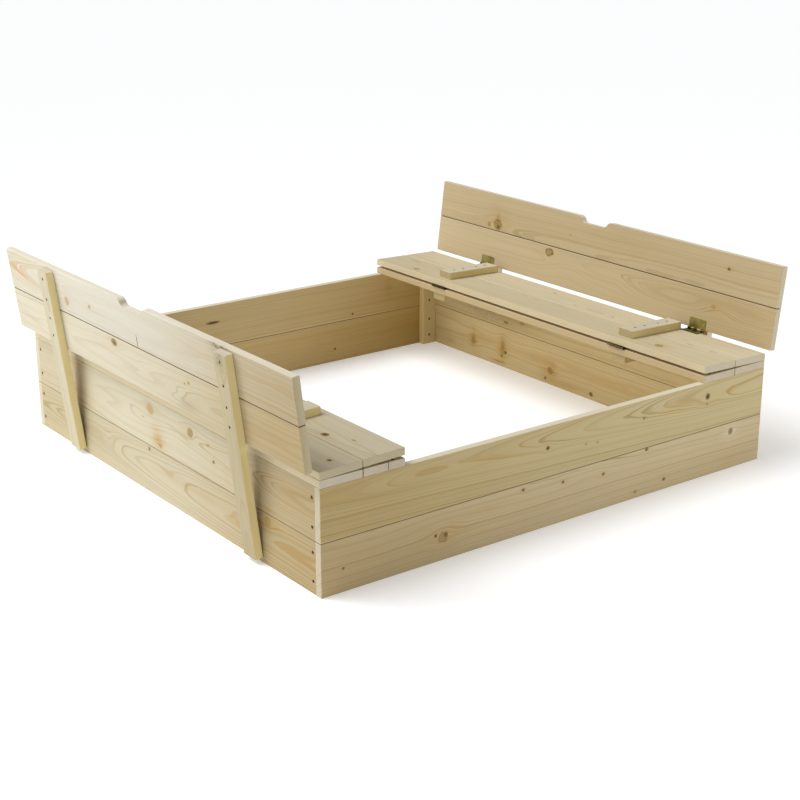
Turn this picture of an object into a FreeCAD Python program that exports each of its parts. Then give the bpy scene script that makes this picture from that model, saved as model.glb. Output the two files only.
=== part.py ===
"""A square wooden sandbox whose folding cover opens into two benches with backrests.

The origin is on the ground at the centre of the box. X runs from bench to bench, Y from the
front wall (-Y) to the back wall (+Y), and Z is up. All sizes are in millimetres.

Every bench is built once, for the right-hand side (+X), and turned half a turn about Z for the
left-hand side. Its pieces lie in three frames:
  box frame       the sandbox's own frame
  seat frame      origin on the fold hinge pin, x outward along the folded-back seat, z off its face
  backrest frame  origin on the backrest hinge pin, x up the backrest, z towards the sand
"""

import FreeCAD, Part
import math
import os

from FreeCAD import Placement, Rotation, Vector

# the box
box_side = 1200.0
wall_board_height = 110.0
wall_thickness = 18.0
wall_height = 2 * wall_board_height

# battens: corner posts, cross battens and struts are all cut from one section
batten_width = 44.0
batten_thickness = 18.0

# cover panels: two boards each
cover_thickness = 16.0
seat_board_width = 96.0
seat_board_gap = 2.0
seat_width = 2 * seat_board_width + seat_board_gap
backrest_board_width = 95.0
backrest_board_gap = 1.0
backrest_width = 2 * backrest_board_width + backrest_board_gap

# planed edges
long_edge_radius = 1.8
batten_edge_radius = 1.5
end_chamfer = 0.5

# butt hinges, opened flat they are hinge_length by two leaf_reach
hinge_length = 50.0
leaf_reach = 25.0
leaf_thickness = 1.2
knuckle_radius = 3.0
pin_radius = 1.5
pin_clearance = 0.05
pin_head_radius = 2.2
pin_head_height = 0.8
knuckle_count = 5
outer_knuckles = (0, 2, 4)
inner_knuckles = (1, 3)
knuckle_gap = 0.3
leaf_cutback = 0.4
leaf_corner_radius = 2.0
leaf_screw_spread = 17.0
outer_leaf_screw_reach = 14.5
middle_leaf_screw_reach = 19.5

# where the hinges and battens sit, either side of the middle of the box
fold_hinge_y = 328.0
back_hinge_y = 381.0
cross_batten_y = 332.0
strut_y = 378.0

# how the cover panels stand to their pins
edge_to_fold_pin = 1.5
seat_to_back_pin = 11.0
backrest_to_back_pin = 1.0
resting_clearance = 0.2
strut_wall_clearance = 0.3

# cross battens on the moving seat and under the fixed seat
seat_batten_from_edge = 22.5
seat_batten_length = 160.0
seat_batten_screws = (31.0, 61.0, 104.0, 134.0)
under_batten_from_edge = 4.0
under_batten_to_wall = 3.0
under_batten_screws = (30.0, 62.0, 114.0, 146.0)

# struts behind the backrest, measured up from the backrest's lower edge
strut_top = 185.0
strut_foot_height = 12.0
strut_screws = (35.0, 76.0, 120.0, 168.0)

# screw heights at the corners
side_wall_screw_heights = (26.0, 85.0, 136.0, 195.0)
post_screw_heights = (25.0, 71.0, 125.0, 179.0)

# hand notch in the backrest's upper edge
notch_top_width = 120.0
notch_floor_width = 62.0
notch_depth = 16.0

# countersunk screws: shank diameter, head diameter, length
frame_screw = (4.0, 8.0, 35.0)
batten_screw = (3.5, 7.0, 30.0)
seat_screw = (4.0, 8.0, 40.0)
leaf_screw = (3.0, 5.6, 12.0)
head_rim = 0.3
tip_length = 4.0
tip_radius = 0.4
head_sink = 0.8
hole_clearance = 0.05
recess_depth = 1.1
recess_width_share = 0.16
recess_length_share = 0.62
screw_spin_step = 37.0

# places that follow from the sizes above
half_side = box_side / 2
wall_inside = half_side - wall_thickness
seat_top = wall_height + cover_thickness
fold_pin_x = half_side - seat_width - edge_to_fold_pin
fold_pin_z = seat_top + knuckle_radius
seat_outer_edge = edge_to_fold_pin + seat_width
seat_upper_face = knuckle_radius + cover_thickness
back_pin_reach = seat_outer_edge + seat_to_back_pin
back_pin_rise = seat_upper_face + knuckle_radius


def seat_tilt():
    """Degrees by which the folded-back seat slopes down, from its hinge to its outer edge."""
    drop = 2 * knuckle_radius - resting_clearance
    return math.degrees(math.asin(drop / seat_outer_edge))


def seat_frame():
    """Placement of the seat frame in the box frame, with the cover folded open."""
    turn = Rotation(Vector(0, 1, 0), seat_tilt())
    return Placement(Vector(fold_pin_x, 0, fold_pin_z), turn)


def back_pin():
    """The backrest hinge pin in the box frame."""
    return seat_frame().multVec(Vector(back_pin_reach, 0, back_pin_rise))


def backrest_lean():
    """Degrees by which the backrest leans outward, so that its struts stand against the wall."""
    pin = back_pin()
    outer_face = knuckle_radius + cover_thickness
    wall_face = half_side + strut_wall_clearance
    height = pin.z - strut_foot_height
    lean = 0.0
    for _ in range(20):
        foot_run = (height - outer_face * math.sin(lean)) / math.cos(lean)
        lean = math.asin((pin.x + outer_face * math.cos(lean) - wall_face) / foot_run)
    return math.degrees(lean)


def backrest_frame():
    """Placement of the backrest frame in the box frame, with the backrest up."""
    turn = Rotation(Vector(0, 1, 0), backrest_lean() - 90)
    return Placement(back_pin(), turn)


def strut_length_below_pin():
    """How far the struts run below the backrest hinge pin."""
    lean = math.radians(backrest_lean())
    height = back_pin().z - strut_foot_height
    outer_face = knuckle_radius + cover_thickness
    return (height - outer_face * math.sin(lean)) / math.cos(lean)


def placed(shape, placement):
    """A copy of the shape, moved by a placement."""
    copy = shape.copy()
    copy.Placement = placement.multiply(copy.Placement)
    return copy


def along_axis(edge, axis):
    """True if a straight edge runs along one of the axes x, y or z."""
    direction = edge.Vertexes[-1].Point - edge.Vertexes[0].Point
    direction.normalize()
    return abs(getattr(direction, axis)) > 0.999


def eased(blank, axis, radius=long_edge_radius):
    """A blank whose long edges are rounded and whose sawn ends are lightly chamfered."""
    long_edges = [edge for edge in blank.Edges if along_axis(edge, axis)]
    rounded = blank.makeFillet(radius, long_edges)
    span = axis.upper() + "Length"
    end_edges = [edge for edge in rounded.Edges if getattr(edge.BoundBox, span) < 0.01]
    return rounded.makeChamfer(end_chamfer, end_edges)


def block(low, high):
    """A plain block between two corners."""
    return Part.makeBox(high[0] - low[0], high[1] - low[1], high[2] - low[2], Vector(*low))


def board(low, high, axis):
    """A planed board between two corners, with its grain along the axis."""
    return eased(block(low, high), axis)


def batten(low, high, axis):
    """A planed batten between two corners, with its grain along the axis."""
    return eased(block(low, high), axis, batten_edge_radius)


def turned(profile):
    """The solid that a closed (radius, height) outline makes about the Z axis."""
    points = [Vector(radius, 0, height) for radius, height in profile]
    face = Part.Face(Part.makePolygon(points + points[:1]))
    return face.revolve(Vector(0, 0, 0), Vector(0, 0, 1), 360)


def screw_body(kind):
    """A countersunk wood screw with a cross recess. Its head is at the origin and it points down."""
    shank_diameter, head_diameter, length = kind
    shank = shank_diameter / 2
    head = head_diameter / 2
    outline = [
        (0, 0),
        (head, 0),
        (head, -head_rim),
        (shank, -head_rim - (head - shank)),
        (shank, tip_length - length),
        (tip_radius, -length),
        (0, -length),
    ]
    slot_length = head_diameter * recess_length_share
    slot_width = head_diameter * recess_width_share
    screw = turned(outline)
    for across in (slot_length, slot_width):
        along = slot_length + slot_width - across
        low = (-across / 2, -along / 2, -recess_depth)
        screw = screw.cut(block(low, (across / 2, along / 2, 1)))
    return screw


def screw_pocket(kind):
    """The hole that such a screw sits in, open above its head."""
    shank_diameter, head_diameter, length = kind
    shank = shank_diameter / 2 + hole_clearance
    head = head_diameter / 2 + hole_clearance
    outline = [
        (0, 2),
        (head, 2),
        (head, -head_rim),
        (shank, -head_rim - (head - shank)),
        (shank, -length - hole_clearance),
        (0, -length - hole_clearance),
    ]
    return turned(outline)


def screws_at(kind, heads, direction, sink=head_sink):
    """The screws of one kind at a list of head points, with the pockets that they need."""
    point_down = Rotation(Vector(0, 0, -1), direction)
    screws = []
    pockets = []
    for index, head in enumerate(heads):
        spin = Rotation(Vector(0, 0, 1), index * screw_spin_step)
        where = Placement(head + direction * sink, point_down.multiply(spin))
        screws.append(placed(screw_body(kind), where))
        pockets.append(placed(screw_pocket(kind), where))
    return screws, pockets


def drilled(shape, pockets):
    """The shape with the pockets that meet its box cut out of it."""
    meeting = [pocket for pocket in pockets if pocket.BoundBox.intersect(shape.BoundBox)]
    return shape.cut(meeting) if meeting else shape


def hinge_leaf(own_knuckles):
    """A hinge leaf with its pin on the Y axis. It reaches out along x and lies on z = -knuckle_radius."""
    half = hinge_length / 2
    pitch = (hinge_length + knuckle_gap) / knuckle_count
    knuckle_length = pitch - knuckle_gap
    bore = pin_radius + pin_clearance
    plate_start = knuckle_radius + leaf_cutback
    top = leaf_thickness - knuckle_radius
    plate = block((plate_start, -half, -knuckle_radius), (leaf_reach, half, top))
    corners = [
        edge
        for edge in plate.Edges
        if along_axis(edge, "z") and edge.Vertexes[0].X > leaf_reach - 1
    ]
    leaf = plate.makeFillet(leaf_corner_radius, corners)
    for index in own_knuckles:
        start = index * pitch - half
        tongue = block((0, start, -knuckle_radius), (plate_start + 1, start + knuckle_length, top))
        barrel = Part.makeCylinder(
            knuckle_radius, knuckle_length, Vector(0, start, 0), Vector(0, 1, 0)
        )
        leaf = leaf.fuse([tongue, barrel])
    hole = Part.makeCylinder(bore, hinge_length + 2, Vector(0, -half - 1, 0), Vector(0, 1, 0))
    leaf = leaf.cut(hole).removeSplitter()
    return drilled(leaf, leaf_screws()[1])


def hinge_pin():
    """A hinge pin on the Y axis, headed over at both ends."""
    half = hinge_length / 2
    shaft = Part.makeCylinder(pin_radius, hinge_length, Vector(0, -half, 0), Vector(0, 1, 0))
    heads = []
    for start in (-half - pin_head_height, half):
        heads.append(
            Part.makeCylinder(
                pin_head_radius, pin_head_height, Vector(0, start, 0), Vector(0, 1, 0)
            )
        )
    return shaft.fuse(heads).removeSplitter()


def leaf_screws():
    """Three staggered screws down through a leaf that lies on z = -knuckle_radius."""
    top = leaf_thickness - knuckle_radius
    heads = [
        Vector(outer_leaf_screw_reach, -leaf_screw_spread, top),
        Vector(middle_leaf_screw_reach, 0, top),
        Vector(outer_leaf_screw_reach, leaf_screw_spread, top),
    ]
    return screws_at(leaf_screw, heads, Vector(0, 0, -1), sink=0.0)


def hinge_sets(places, own_knuckles):
    """Leaves, their screws and the screws' pockets at several placements."""
    screws, pockets = leaf_screws()
    leaf = hinge_leaf(own_knuckles)
    leaves = [placed(leaf, place) for place in places]
    all_screws = [placed(screw, place) for place in places for screw in screws]
    all_pockets = [placed(pocket, place) for place in places for pocket in pockets]
    return leaves, all_screws, all_pockets


def box_boards():
    """The eight wall boards. The front and back walls run past the ends of the side walls."""
    boards = {}
    for wall, y in (("front", -half_side), ("back", wall_inside)):
        for level, z in (("lower", 0.0), ("upper", wall_board_height)):
            low = (-half_side, y, z)
            high = (half_side, y + wall_thickness, z + wall_board_height)
            boards[f"{wall}_wall_{level}_board"] = board(low, high, "x")
    for wall, x in (("left", -half_side), ("right", wall_inside)):
        for level, z in (("lower", 0.0), ("upper", wall_board_height)):
            low = (x, -wall_inside, z)
            high = (x + wall_thickness, wall_inside, z + wall_board_height)
            boards[f"{wall}_wall_{level}_board"] = board(low, high, "y")
    return boards


def corner_posts():
    """The four corner posts, flat against the front and back walls."""
    posts = {}
    for end, y in (("front", -wall_inside), ("back", wall_inside - batten_thickness)):
        for side, x in (("left", -wall_inside), ("right", wall_inside - batten_width)):
            low = (x, y, 0.0)
            high = (x + batten_width, y + batten_thickness, wall_height)
            posts[f"{end}_{side}_post"] = batten(low, high, "z")
    return posts


def corner_screws():
    """Screws through the side walls into the posts, and through the posts into the end walls."""
    post_y = wall_inside - batten_thickness / 2
    post_x = wall_inside - batten_width / 2
    inner_face = wall_inside - batten_thickness
    side_screws, post_screws, pockets = [], [], []
    for x_sign in (-1, 1):
        for y_sign in (-1, 1):
            heads = [
                Vector(x_sign * half_side, y_sign * post_y, z) for z in side_wall_screw_heights
            ]
            screws, holes = screws_at(frame_screw, heads, Vector(-x_sign, 0, 0))
            side_screws += screws
            pockets += holes
            heads = [Vector(x_sign * post_x, y_sign * inner_face, z) for z in post_screw_heights]
            screws, holes = screws_at(batten_screw, heads, Vector(0, y_sign, 0))
            post_screws += screws
            pockets += holes
    return side_screws, post_screws, pockets


def fixed_seat():
    """The right-hand fixed seat in the box frame: boards, under battens, hinge leaves and pins."""
    inner_edge = half_side - seat_width
    boards = {}
    for name, x in (("inner", inner_edge), ("outer", half_side - seat_board_width)):
        low = (x, -half_side, wall_height)
        high = (x + seat_board_width, half_side, seat_top)
        boards[f"fixed_seat_{name}_board"] = board(low, high, "y")

    batten_start = inner_edge + under_batten_from_edge
    batten_end = wall_inside - under_batten_to_wall
    batten_bottom = wall_height - batten_thickness
    battens = []
    for y in (-cross_batten_y, cross_batten_y):
        low = (batten_start, y - batten_width / 2, batten_bottom)
        high = (batten_end, y + batten_width / 2, wall_height)
        battens.append(batten(low, high, "x"))
    heads = [
        Vector(batten_start + x, y, batten_bottom)
        for y in (-cross_batten_y, cross_batten_y)
        for x in under_batten_screws
    ]
    batten_screws, pockets = screws_at(batten_screw, heads, Vector(0, 0, 1))

    wall_middle = half_side - wall_thickness / 2
    heads = [
        Vector(board_start + share * seat_board_width, y, seat_top)
        for board_start in (inner_edge, half_side - seat_board_width)
        for share in (0.25, 0.75)
        for y in (-wall_middle, wall_middle)
    ]
    seat_screws, seat_pockets = screws_at(seat_screw, heads, Vector(0, 0, -1))

    places = [
        Placement(Vector(fold_pin_x, y, fold_pin_z), Rotation())
        for y in (-fold_hinge_y, fold_hinge_y)
    ]
    leaves, leaf_fixings, leaf_pockets = hinge_sets(places, outer_knuckles)
    pins = [placed(hinge_pin(), place) for place in places]
    pockets += seat_pockets + leaf_pockets
    return {
        "boards": {name: drilled(shape, pockets) for name, shape in boards.items()},
        "battens": [drilled(shape, pockets) for shape in battens],
        "leaves": leaves,
        "pins": pins,
        "batten_screws": batten_screws,
        "seat_screws": seat_screws,
        "leaf_screws": leaf_fixings,
        "wall_pockets": seat_pockets,
    }


def moving_seat():
    """The moving seat in the seat frame: boards, cross battens, leaves, pins and screws."""
    boards = {}
    outer_start = seat_outer_edge - seat_board_width
    for name, x in (("inner", edge_to_fold_pin), ("outer", outer_start)):
        low = (x, -half_side, knuckle_radius)
        high = (x + seat_board_width, half_side, seat_upper_face)
        boards[f"moving_seat_{name}_board"] = board(low, high, "y")

    batten_start = edge_to_fold_pin + seat_batten_from_edge
    batten_top = seat_upper_face + batten_thickness
    battens = []
    for y in (-cross_batten_y, cross_batten_y):
        low = (batten_start, y - batten_width / 2, seat_upper_face)
        high = (batten_start + seat_batten_length, y + batten_width / 2, batten_top)
        battens.append(batten(low, high, "x"))
    heads = [
        Vector(batten_start + x, y, batten_top)
        for y in (-cross_batten_y, cross_batten_y)
        for x in seat_batten_screws
    ]
    batten_screws, pockets = screws_at(batten_screw, heads, Vector(0, 0, -1))

    upside_down = Rotation(Vector(1, 0, 0), 180)
    fold_places = [
        Placement(Vector(0, y, 0), upside_down) for y in (-fold_hinge_y, fold_hinge_y)
    ]
    fold_leaves, fold_screws, fold_pockets = hinge_sets(fold_places, inner_knuckles)

    turned_back = Rotation(Vector(0, 0, 1), 180)
    back_places = [
        Placement(Vector(back_pin_reach, y, back_pin_rise), turned_back)
        for y in (-back_hinge_y, back_hinge_y)
    ]
    back_leaves, back_screws, back_pockets = hinge_sets(back_places, outer_knuckles)
    pins = [placed(hinge_pin(), place) for place in back_places]
    pockets += fold_pockets + back_pockets
    return {
        "boards": {name: drilled(shape, pockets) for name, shape in boards.items()},
        "battens": [drilled(shape, pockets) for shape in battens],
        "fold_leaves": fold_leaves,
        "back_leaves": back_leaves,
        "pins": pins,
        "batten_screws": batten_screws,
        "leaf_screws": fold_screws + back_screws,
    }


def notch_cutter(top_edge):
    """The hand notch as a solid that is cut from the upper board, with S-curved ends."""
    run = (notch_top_width - notch_floor_width) / 2
    half_turn = 2 * math.atan(notch_depth / run)
    radius = run / (2 * math.sin(half_turn))
    drop = radius * (1 - math.cos(half_turn))
    floor = top_edge - notch_depth
    outer = notch_top_width / 2
    inner = notch_floor_width / 2
    middle = (outer + inner) / 2
    shoulder_sag = radius * (1 - math.cos(half_turn / 2))
    shoulder_step = radius * math.sin(half_turn / 2)
    above = top_edge + 5

    def point(x, y):
        return Vector(x, y, 0)

    edges = []
    for sign in (-1, 1):
        edges.append(
            Part.Arc(
                point(top_edge, sign * outer),
                point(top_edge - shoulder_sag, sign * (outer - shoulder_step)),
                point(top_edge - drop, sign * middle),
            ).toShape()
        )
        edges.append(
            Part.Arc(
                point(top_edge - drop, sign * middle),
                point(floor + shoulder_sag, sign * (inner + shoulder_step)),
                point(floor, sign * inner),
            ).toShape()
        )
        edges.append(Part.makeLine(point(top_edge, sign * outer), point(above, sign * outer)))
    edges.append(Part.makeLine(point(floor, -inner), point(floor, inner)))
    edges.append(Part.makeLine(point(above, -outer), point(above, outer)))
    outline = Part.Wire(Part.__sortEdges__(edges))
    depth = cover_thickness + 4
    cutter = Part.Face(outline).extrude(Vector(0, 0, depth))
    cutter.translate(Vector(0, 0, -knuckle_radius - cover_thickness - 2))
    return cutter


def backrest():
    """The backrest in its own frame: boards, struts, hinge leaves and screws."""
    outer_face = -knuckle_radius - cover_thickness
    lower_start = backrest_to_back_pin
    upper_start = lower_start + backrest_board_width + backrest_board_gap
    top_edge = lower_start + backrest_width
    boards = {}
    for name, x in (("lower", lower_start), ("upper", upper_start)):
        low = (x, -half_side, outer_face)
        high = (x + backrest_board_width, half_side, -knuckle_radius)
        boards[f"backrest_{name}_board"] = board(low, high, "y")
    upper = boards["backrest_upper_board"]
    boards["backrest_upper_board"] = upper.cut(notch_cutter(top_edge))

    strut_outer_face = outer_face - batten_thickness
    struts = []
    for y in (-strut_y, strut_y):
        low = (-strut_length_below_pin(), y - batten_width / 2, strut_outer_face)
        high = (lower_start + strut_top, y + batten_width / 2, outer_face)
        struts.append(batten(low, high, "x"))
    heads = [
        Vector(lower_start + x, y, strut_outer_face)
        for y in (-strut_y, strut_y)
        for x in strut_screws
    ]
    fixings, pockets = screws_at(batten_screw, heads, Vector(0, 0, 1))

    places = [Placement(Vector(0, y, 0), Rotation()) for y in (-back_hinge_y, back_hinge_y)]
    leaves, leaf_fixings, leaf_pockets = hinge_sets(places, inner_knuckles)
    pockets += leaf_pockets
    return {
        "boards": {name: drilled(shape, pockets) for name, shape in boards.items()},
        "struts": [drilled(shape, pockets) for shape in struts],
        "leaves": leaves,
        "strut_screws": fixings,
        "leaf_screws": leaf_fixings,
    }


def ends(side):
    """The names of a bench's -Y and +Y ends, before it is turned to its side."""
    return ("front", "back") if side == "right" else ("back", "front")


def add_bench(nodes, shared, side, turn):
    """Adds one side's bench pieces to the nodes, turned to that side of the box."""
    in_box = turn
    in_seat = turn.multiply(seat_frame())
    in_backrest = turn.multiply(backrest_frame())

    def add(name, shapes, place):
        nodes[f"{side}_{name}"] = Part.makeCompound([placed(shape, place) for shape in shapes])

    fixed = fixed_seat()
    for name, shape in fixed["boards"].items():
        add(name, [shape], in_box)
    for end, shape in zip(ends(side), fixed["battens"]):
        add(f"under_batten_{end}", [shape], in_box)
    add("fold_hinge_fixed_leaves", fixed["leaves"], in_box)
    shared["fold_hinge_pins"] += [placed(shape, in_box) for shape in fixed["pins"]]
    shared["under_batten_screws"] += [placed(shape, in_box) for shape in fixed["batten_screws"]]
    shared["fixed_seat_screws"] += [placed(shape, in_box) for shape in fixed["seat_screws"]]
    shared["fold_hinge_fixed_screws"] += [placed(shape, in_box) for shape in fixed["leaf_screws"]]
    wall_pockets = [placed(shape, in_box) for shape in fixed["wall_pockets"]]

    seat = moving_seat()
    for name, shape in seat["boards"].items():
        add(name, [shape], in_seat)
    for end, shape in zip(ends(side), seat["battens"]):
        add(f"seat_batten_{end}", [shape], in_seat)
    add("seat_batten_screws", seat["batten_screws"], in_seat)
    add("fold_hinge_moving_leaves", seat["fold_leaves"], in_seat)
    add("back_hinge_seat_leaves", seat["back_leaves"], in_seat)
    add("back_hinge_pins", seat["pins"], in_seat)
    add("seat_hinge_screws", seat["leaf_screws"], in_seat)

    rest = backrest()
    for name, shape in rest["boards"].items():
        add(name, [shape], in_backrest)
    for end, shape in zip(ends(side), rest["struts"]):
        add(f"strut_{end}", [shape], in_backrest)
    add("strut_screws", rest["strut_screws"], in_backrest)
    add("back_hinge_backrest_leaves", rest["leaves"], in_backrest)
    add("backrest_hinge_screws", rest["leaf_screws"], in_backrest)
    return wall_pockets


def build():
    """Every node of the sandbox, by name."""
    nodes = {}
    shared = {
        "fold_hinge_pins": [],
        "under_batten_screws": [],
        "fixed_seat_screws": [],
        "fold_hinge_fixed_screws": [],
    }
    side_screws, post_screws, pockets = corner_screws()
    for side, degrees in (("left", 180), ("right", 0)):
        turn = Placement(Vector(0, 0, 0), Rotation(Vector(0, 0, 1), degrees))
        pockets += add_bench(nodes, shared, side, turn)
    for name, shape in {**box_boards(), **corner_posts()}.items():
        nodes[name] = drilled(shape, pockets)
    nodes["side_wall_screws"] = Part.makeCompound(side_screws)
    nodes["post_screws"] = Part.makeCompound(post_screws)
    for name, shapes in shared.items():
        nodes[name] = Part.makeCompound(shapes)
    return nodes


def report(nodes):
    """Prints the hinge pins, the tilts and the overall box, which the joints and mounts rely on."""
    pin = back_pin()
    print(f"fold pin x {fold_pin_x:.3f} z {fold_pin_z:.3f}")
    print(f"back pin x {pin.x:.3f} z {pin.z:.3f}")
    print(f"seat tilt {seat_tilt():.4f} backrest lean {backrest_lean():.4f}")
    box = Part.makeCompound(list(nodes.values())).BoundBox
    print(f"overall {box.XLength:.2f} x {box.YLength:.2f} x {box.ZLength:.2f}")


os.makedirs("parts", exist_ok=True)
all_nodes = build()
for node_name, node_shape in all_nodes.items():
    node_shape.exportStep(f"parts/{node_name}.step")
print(len(all_nodes), "nodes")
report(all_nodes)
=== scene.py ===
"""Looks for the wooden sandbox with its folding cover: planed spruce, zinc hinges and steel screws.

Every wooden piece has a frame of its own, in metres: u runs along its grain, v across its width and
w through its thickness. Its material works the growth rings out in that frame, so the grain goes
through the whole piece, round its knots and out at its ends.
"""

import math
import random

import bpy
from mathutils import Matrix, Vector


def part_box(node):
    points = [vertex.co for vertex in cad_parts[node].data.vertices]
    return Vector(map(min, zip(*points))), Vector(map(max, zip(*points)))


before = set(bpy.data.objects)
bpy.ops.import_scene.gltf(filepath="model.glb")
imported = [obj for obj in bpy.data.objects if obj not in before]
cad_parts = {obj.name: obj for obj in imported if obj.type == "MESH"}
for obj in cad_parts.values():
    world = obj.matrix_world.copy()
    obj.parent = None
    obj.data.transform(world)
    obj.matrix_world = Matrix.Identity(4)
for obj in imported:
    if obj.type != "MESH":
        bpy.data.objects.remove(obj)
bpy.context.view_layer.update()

MM = 0.001
SKIN = 9 * MM
AXES = {"x": Vector((1, 0, 0)), "y": Vector((0, 1, 0)), "z": Vector((0, 0, 1))}


# ---------------------------------------------------------------- shader graphs


class Graph:
    """A node tree, with short calls for the nodes that the materials are made of."""

    def __init__(self, tree):
        self.tree = tree

    def node(self, kind, inputs=(), **settings):
        made = self.tree.nodes.new("ShaderNode" + kind)
        for name, value in settings.items():
            setattr(made, name, value)
        for key, value in dict(inputs).items():
            self.feed(made.inputs[key], value)
        return made

    def feed(self, socket, value):
        if isinstance(value, bpy.types.NodeSocket):
            self.tree.links.new(value, socket)
        else:
            socket.default_value = value

    def math(self, operation, *values, clamp=False):
        pairs = enumerate(values)
        return self.node("Math", pairs, operation=operation, use_clamp=clamp).outputs[0]

    def add(self, *values):
        total = values[0]
        for value in values[1:]:
            total = self.math("ADD", total, value)
        return total

    def times(self, *values):
        product = values[0]
        for value in values[1:]:
            product = self.math("MULTIPLY", product, value)
        return product

    def minus(self, a, b):
        return self.math("SUBTRACT", a, b)

    def dot(self, vector, direction):
        inputs = {0: vector, 1: direction}
        return self.node("VectorMath", inputs, operation="DOT_PRODUCT").outputs["Value"]

    def scaled(self, vector, factors):
        inputs = {0: vector, 1: factors}
        return self.node("VectorMath", inputs, operation="MULTIPLY").outputs[0]

    def sized(self, vector, factor):
        inputs = {0: vector, "Scale": factor}
        return self.node("VectorMath", inputs, operation="SCALE").outputs[0]

    def moved(self, vector, offset):
        inputs = {0: vector, 1: offset}
        return self.node("VectorMath", inputs, operation="ADD").outputs[0]

    def point(self, x, y, z):
        return self.node("CombineXYZ", {0: x, 1: y, 2: z}).outputs[0]

    def smooth(self, value, low, high):
        """0 at low, 1 at high, with a soft start and end. Low may be the larger."""
        inputs = {"Value": value, "From Min": low, "From Max": high}
        made = self.node("MapRange", inputs, interpolation_type="SMOOTHSTEP")
        return made.outputs[0]

    def noise(self, vector, scale=1.0, detail=2.0, roughness=0.5):
        """Smooth noise, about 0.5 on average."""
        inputs = {"Vector": vector, "Scale": scale, "Detail": detail, "Roughness": roughness}
        return self.node("TexNoise", inputs).outputs[0]

    def swing(self, vector, amount, detail=2.0):
        """Smooth noise that goes from about -amount / 2 to amount / 2."""
        return self.times(self.minus(self.noise(vector, detail=detail), 0.5), amount)

    def mix(self, share, a, b, blend="MIX"):
        made = self.node("Mix", {0: share, 6: a, 7: b}, data_type="RGBA", blend_type=blend)
        return made.outputs[2]

    def lerp(self, share, a, b):
        return self.node("Mix", {0: share, 2: a, 3: b}, data_type="FLOAT").outputs[0]

    def group(self, tree, **inputs):
        """A node of a group, as the dictionary of its outputs."""
        made = self.node("Group")
        made.node_tree = tree
        for key, value in inputs.items():
            self.feed(made.inputs[key], value)
        return made.outputs


def node_group(name, inputs, outputs, build):
    """A node group with the given sockets. Build takes its graph and inputs, and returns its outputs."""
    tree = bpy.data.node_groups.new(name, "ShaderNodeTree")
    for key, kind in inputs.items():
        tree.interface.new_socket(key, in_out="INPUT", socket_type="NodeSocket" + kind)
    for key, kind in outputs.items():
        tree.interface.new_socket(key, in_out="OUTPUT", socket_type="NodeSocket" + kind)
    graph = Graph(tree)
    source = tree.nodes.new("NodeGroupInput")
    sink = tree.nodes.new("NodeGroupOutput")
    for key, value in build(graph, source.outputs).items():
        graph.feed(sink.inputs[key], value)
    return tree


def new_material(name):
    """An empty material, its graph and its Principled node."""
    material = bpy.data.materials.new(name)
    material.use_nodes = True
    tree = material.node_tree
    tree.nodes.clear()
    graph = Graph(tree)
    surface = graph.node("BsdfPrincipled")
    output = graph.node("OutputMaterial")
    tree.links.new(surface.outputs[0], output.inputs["Surface"])
    return material, graph, surface


def rgb(red, green, blue):
    return (red, green, blue, 1.0)


# ---------------------------------------------------------------- wood


class Board:
    """A wooden piece's own frame, worked out from its CAD node."""

    def __init__(self, node, grain):
        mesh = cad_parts[node].data
        self.name = node
        self.w = max(mesh.polygons, key=lambda face: face.area).normal.copy()
        self.u = (AXES[grain] - AXES[grain].dot(self.w) * self.w).normalized()
        self.v = self.w.cross(self.u)
        low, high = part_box(node)
        outward = Vector((low.x + high.x, low.y + high.y, 0))
        for name in ("v", "w"):
            axis = getattr(self, name)
            hint = AXES["z"] if abs(axis.z) > 0.5 else outward
            if axis.dot(hint) < 0:
                setattr(self, name, -axis)
        places = [self.place_of(vertex.co) for vertex in mesh.vertices]
        self.low = Vector([min(place[i] for place in places) for i in range(3)])
        self.high = Vector([max(place[i] for place in places) for i in range(3)])
        self.centre = (self.low + self.high) / 2
        self.half = (self.high - self.low) / 2

    def place_of(self, point):
        """The (u, v, w) of a point."""
        return Vector((point.dot(self.u), point.dot(self.v), point.dot(self.w)))


class Knot:
    """A knot at a share of the board's half length and half width.

    Its radius is in millimetres. Stretch is how much longer it is along the grain, halo how strongly
    it bends the grain, pale how much it bleaches the wood round it, and rim how dark its outline is.
    """

    def __init__(
        self, along, across, radius, dark=0.5, stretch=1.2, halo=1.0, crack=0.0, pale=0.0, rim=0.2
    ):
        self.along = along
        self.across = across
        self.radius = radius * MM
        self.dark = dark
        self.stretch = stretch
        self.halo = halo
        self.crack = crack
        self.pale = pale
        self.rim = rim


class Patch:
    """A soft oval at a share of the board's half length and half width, with its half sizes in mm."""

    def __init__(self, along, across, length, width, amount, slant=0.0):
        self.along = along
        self.across = across
        self.length = length * MM
        self.width = width * MM
        self.amount = amount
        self.slant = slant


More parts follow.
